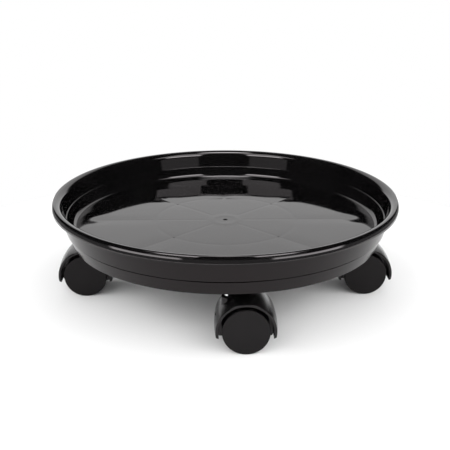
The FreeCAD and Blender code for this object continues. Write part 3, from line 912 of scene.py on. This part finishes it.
# %% Place the casters
def place_copy(master, name, matrix, finish, body):
    """A copy of a master piece at its place, standing for the design piece of the same name."""
    mesh = master.data.copy()
    mesh.transform(matrix)
    mesh.name = name
    mesh.materials.clear()
    mesh.materials.append(finish)
    piece = bpy.data.objects.new(f"{name}_moulding", mesh)
    bpy.context.scene.collection.objects.link(piece)
    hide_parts(name)
    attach(piece, body)


HALF_TURN = Matrix.Rotation(math.pi, 4, "Z")
for side in SIDES:
    place = caster_place(side)
    place_copy(master_hood, f"{side}_hood", place, hood_satin, f"{side}_caster")
    place_copy(master_wheel, f"{side}_wheel_1", place, wheel_matt, f"{side}_roller_1")
    far = place @ HALF_TURN
    place_copy(master_wheel, f"{side}_wheel_2", far, wheel_matt, f"{side}_roller_2")
bpy.data.objects.remove(master_hood)
bpy.data.objects.remove(master_wheel)
print("casters placed:", len(SIDES))

# %% [markdown]
# ## Floor, light and camera
# Black gloss shows its surroundings more than itself, so the room matters as much as the finish. The
# caddy stands on a white floor, which is a plain disc with a matt finish. The room beyond it looks
# almost as white to the lens, so the disc's edge hardly shows. It is small on purpose: the upright
# side of the lip then mirrors the dim room in front and not a white floor, and reads as a dark band.

# %% Floor
FLOOR_RADIUS = 0.35


def make_floor():
    """A white disc under the caddy."""
    shape = bmesh.new()
    bmesh.ops.create_circle(shape, cap_ends=True, segments=96, radius=FLOOR_RADIUS)
    floor = solid("studio_floor", shape)
    finish, _, shader = new_finish("pale_floor")
    shader.inputs["Base Color"].default_value = (0.86, 0.86, 0.86, 1)
    shader.inputs["Roughness"].default_value = 0.9
    shader.inputs["Specular IOR Level"].default_value = 0.0
    floor.data.materials.append(finish)


make_floor()
print("floor across, metres", 2 * FLOOR_RADIUS)

# %% [markdown]
# A good studio lights the floor and the gloss apart. Large soft light from the front and the
# sides fills the floor and reaches far in under the tray. The gloss sees something else: a bright
# backdrop behind the caddy, soft panels on both sides of the camera, a lamp overhead, and a dark room
# for the rest. One world does both here, because its nodes can tell a ray that left a matt face from
# one that left a gloss.

# %% Helpers for the world's nodes
def maths(tree, operation, first, second=None):
    """One Math node; each input is a number or a socket."""
    node = tree.nodes.new("ShaderNodeMath")
    node.operation = operation
    for socket, source in zip(node.inputs, (first, second)):
        if source is None:
            continue
        if isinstance(source, (int, float)):
            socket.default_value = source
        else:
            tree.links.new(source, socket)
    return node.outputs["Value"]


def between(tree, source, edges):
    """1 between two angles and 0 outside; edges are (0 below, 1 from, 1 to, 0 above), in degrees."""
    def step(start, end, low, high):
        node = tree.nodes.new("ShaderNodeMapRange")
        node.interpolation_type = "SMOOTHSTEP"
        tree.links.new(source, node.inputs["Value"])
        values = (math.radians(start), math.radians(end), low, high)
        for name, value in zip(("From Min", "From Max", "To Min", "To Max"), values):
            node.inputs[name].default_value = value
        return node.outputs["Result"]

    return maths(tree, "MULTIPLY", step(edges[0], edges[1], 0.0, 1.0), step(edges[2], edges[3], 1.0, 0.0))


def lit_part(tree, aside, rise, aside_edges, rise_edges, strength):
    """A lit part of the room, as a range of angles to the side and up."""
    across = between(tree, aside, aside_edges)
    upward = between(tree, rise, rise_edges)
    return maths(tree, "MULTIPLY", maths(tree, "MULTIPLY", across, upward), strength)


def choose(tree, flag, otherwise, when_set):
    """One of two strengths, by a ray flag."""
    node = tree.nodes.new("ShaderNodeMix")
    node.data_type = "FLOAT"
    tree.links.new(flag, node.inputs["Factor"])
    for name, source in (("A", otherwise), ("B", when_set)):
        if isinstance(source, (int, float)):
            node.inputs[name].default_value = source
        else:
            tree.links.new(source, node.inputs[name])
    return node.outputs["Result"]


# %% [markdown]
# Angles to the side are counted from the camera's side of the room, so 0 is behind the camera and 180
# is the middle of the backdrop. Each part of the room that the gloss sees has four angles to the side,
# four angles up and a strength: it fades in from the first angle to the second and out from the third
# to the fourth. The matt faces get one broad, low, soft light that is strongest in front. The lens
# itself sees only white, so the horizon never shows.

# %% World
BELOW = (-95, -91)
ALL_ROUND = (-2, -1, 181, 182)
ROOM_GLOW = 0.012
GLOSS_SEES = {
    "backdrop": ((146, 156, 181, 182), (*BELOW, 36, 46), 1.15),
    "dim_floor_in_front": ((-2, -1, 146, 156), (*BELOW, -1, 1), 0.3),
    "low_boxes_for_the_lip": ((26, 30, 72, 78), (-14, -11, 3, 6), 5.0),
    "panels_for_the_wall": ((19, 21, 49, 51), (8, 10, 21, 23), 0.45),
    "panel_tops_for_the_rear_lip": ((19, 21, 49, 52), (34, 36, 46, 47), 9.0),
    "high_panels_for_the_floor": ((22, 24, 65, 68), (45, 46, 70, 73), 3.6),
    "lamp_overhead": (ALL_ROUND, (80, 82, 91, 92), 11.0),
}
MATT_FRONT = ((-2, -1, 100, 135), (18, 28, 42, 50), 3.4)
MATT_ALL_ROUND = 0.85


def make_world():
    """White for the lens, a studio for the gloss, a soft light for everything matt."""
    world = bpy.data.worlds.new("studio")
    bpy.context.scene.world = world
    world.use_nodes = True
    world.cycles.sampling_method = "NONE"
    tree = world.node_tree
    tree.nodes.clear()
    place = tree.nodes.new("ShaderNodeTexCoord")
    split = tree.nodes.new("ShaderNodeSeparateXYZ")
    tree.links.new(place.outputs["Generated"], split.inputs["Vector"])
    toward_lens = maths(tree, "MULTIPLY", split.outputs["Y"], -1.0)
    aside = maths(tree, "ABSOLUTE", maths(tree, "ARCTAN2", split.outputs["X"], toward_lens))
    rise = maths(tree, "ARCSINE", split.outputs["Z"])

    gloss_sees = ROOM_GLOW
    for aside_edges, rise_edges, strength in GLOSS_SEES.values():
        part = lit_part(tree, aside, rise, aside_edges, rise_edges, strength)
        gloss_sees = maths(tree, "ADD", part, gloss_sees)
    matt_sees = maths(tree, "ADD", lit_part(tree, aside, rise, *MATT_FRONT), MATT_ALL_ROUND)

    path = tree.nodes.new("ShaderNodeLightPath")
    strength = choose(tree, path.outputs["Is Glossy Ray"], matt_sees, gloss_sees)
    strength = choose(tree, path.outputs["Is Camera Ray"], strength, 1.0)
    background = tree.nodes.new("ShaderNodeBackground")
    background.inputs["Color"].default_value = (1, 1, 1, 1)
    tree.links.new(strength, background.inputs["Strength"])
    output = tree.nodes.new("ShaderNodeOutputWorld")
    tree.links.new(background.outputs["Background"], output.inputs["Surface"])


make_world()
print("parts of the room that the gloss sees:", ", ".join(GLOSS_SEES))

# %% [markdown]
# The camera looks down at the caddy by about twenty degrees from three quarters of a metre, with a
# short telephoto lens. It aims at the middle of the tray, a little below the dish's floor.

# %% Camera
def aim(thing, target):
    """Turns a thing to look at a point."""
    direction = target - thing.location
    thing.rotation_euler = direction.to_track_quat("-Z", "Y").to_euler()


CAMERA_RISE = math.radians(19.752)
CAMERA_TURN = math.radians(-0.986)
CAMERA_AWAY = 0.7501
AIM = Vector((-0.0003, 0, 0.0608))
FOCAL_LENGTH = 66.33


def make_camera():
    """The camera, placed by its angles and distance from what it aims at."""
    camera = bpy.data.cameras.new("camera")
    camera.lens = FOCAL_LENGTH
    camera.sensor_width = 36.0
    camera.clip_start = 0.01
    camera.clip_end = 60.0
    viewer = bpy.data.objects.new("camera", camera)
    bpy.context.scene.collection.objects.link(viewer)
    flat = Vector((math.sin(CAMERA_TURN), -math.cos(CAMERA_TURN), 0)) * math.cos(CAMERA_RISE)
    viewer.location = AIM + (flat + Vector((0, 0, math.sin(CAMERA_RISE)))) * CAMERA_AWAY
    aim(viewer, AIM)
    bpy.context.scene.camera = viewer


make_camera()
print("camera stands at", [round(part, 4) for part in bpy.context.scene.camera.location])
bpy.context.scene.view_settings.view_transform = "Standard"
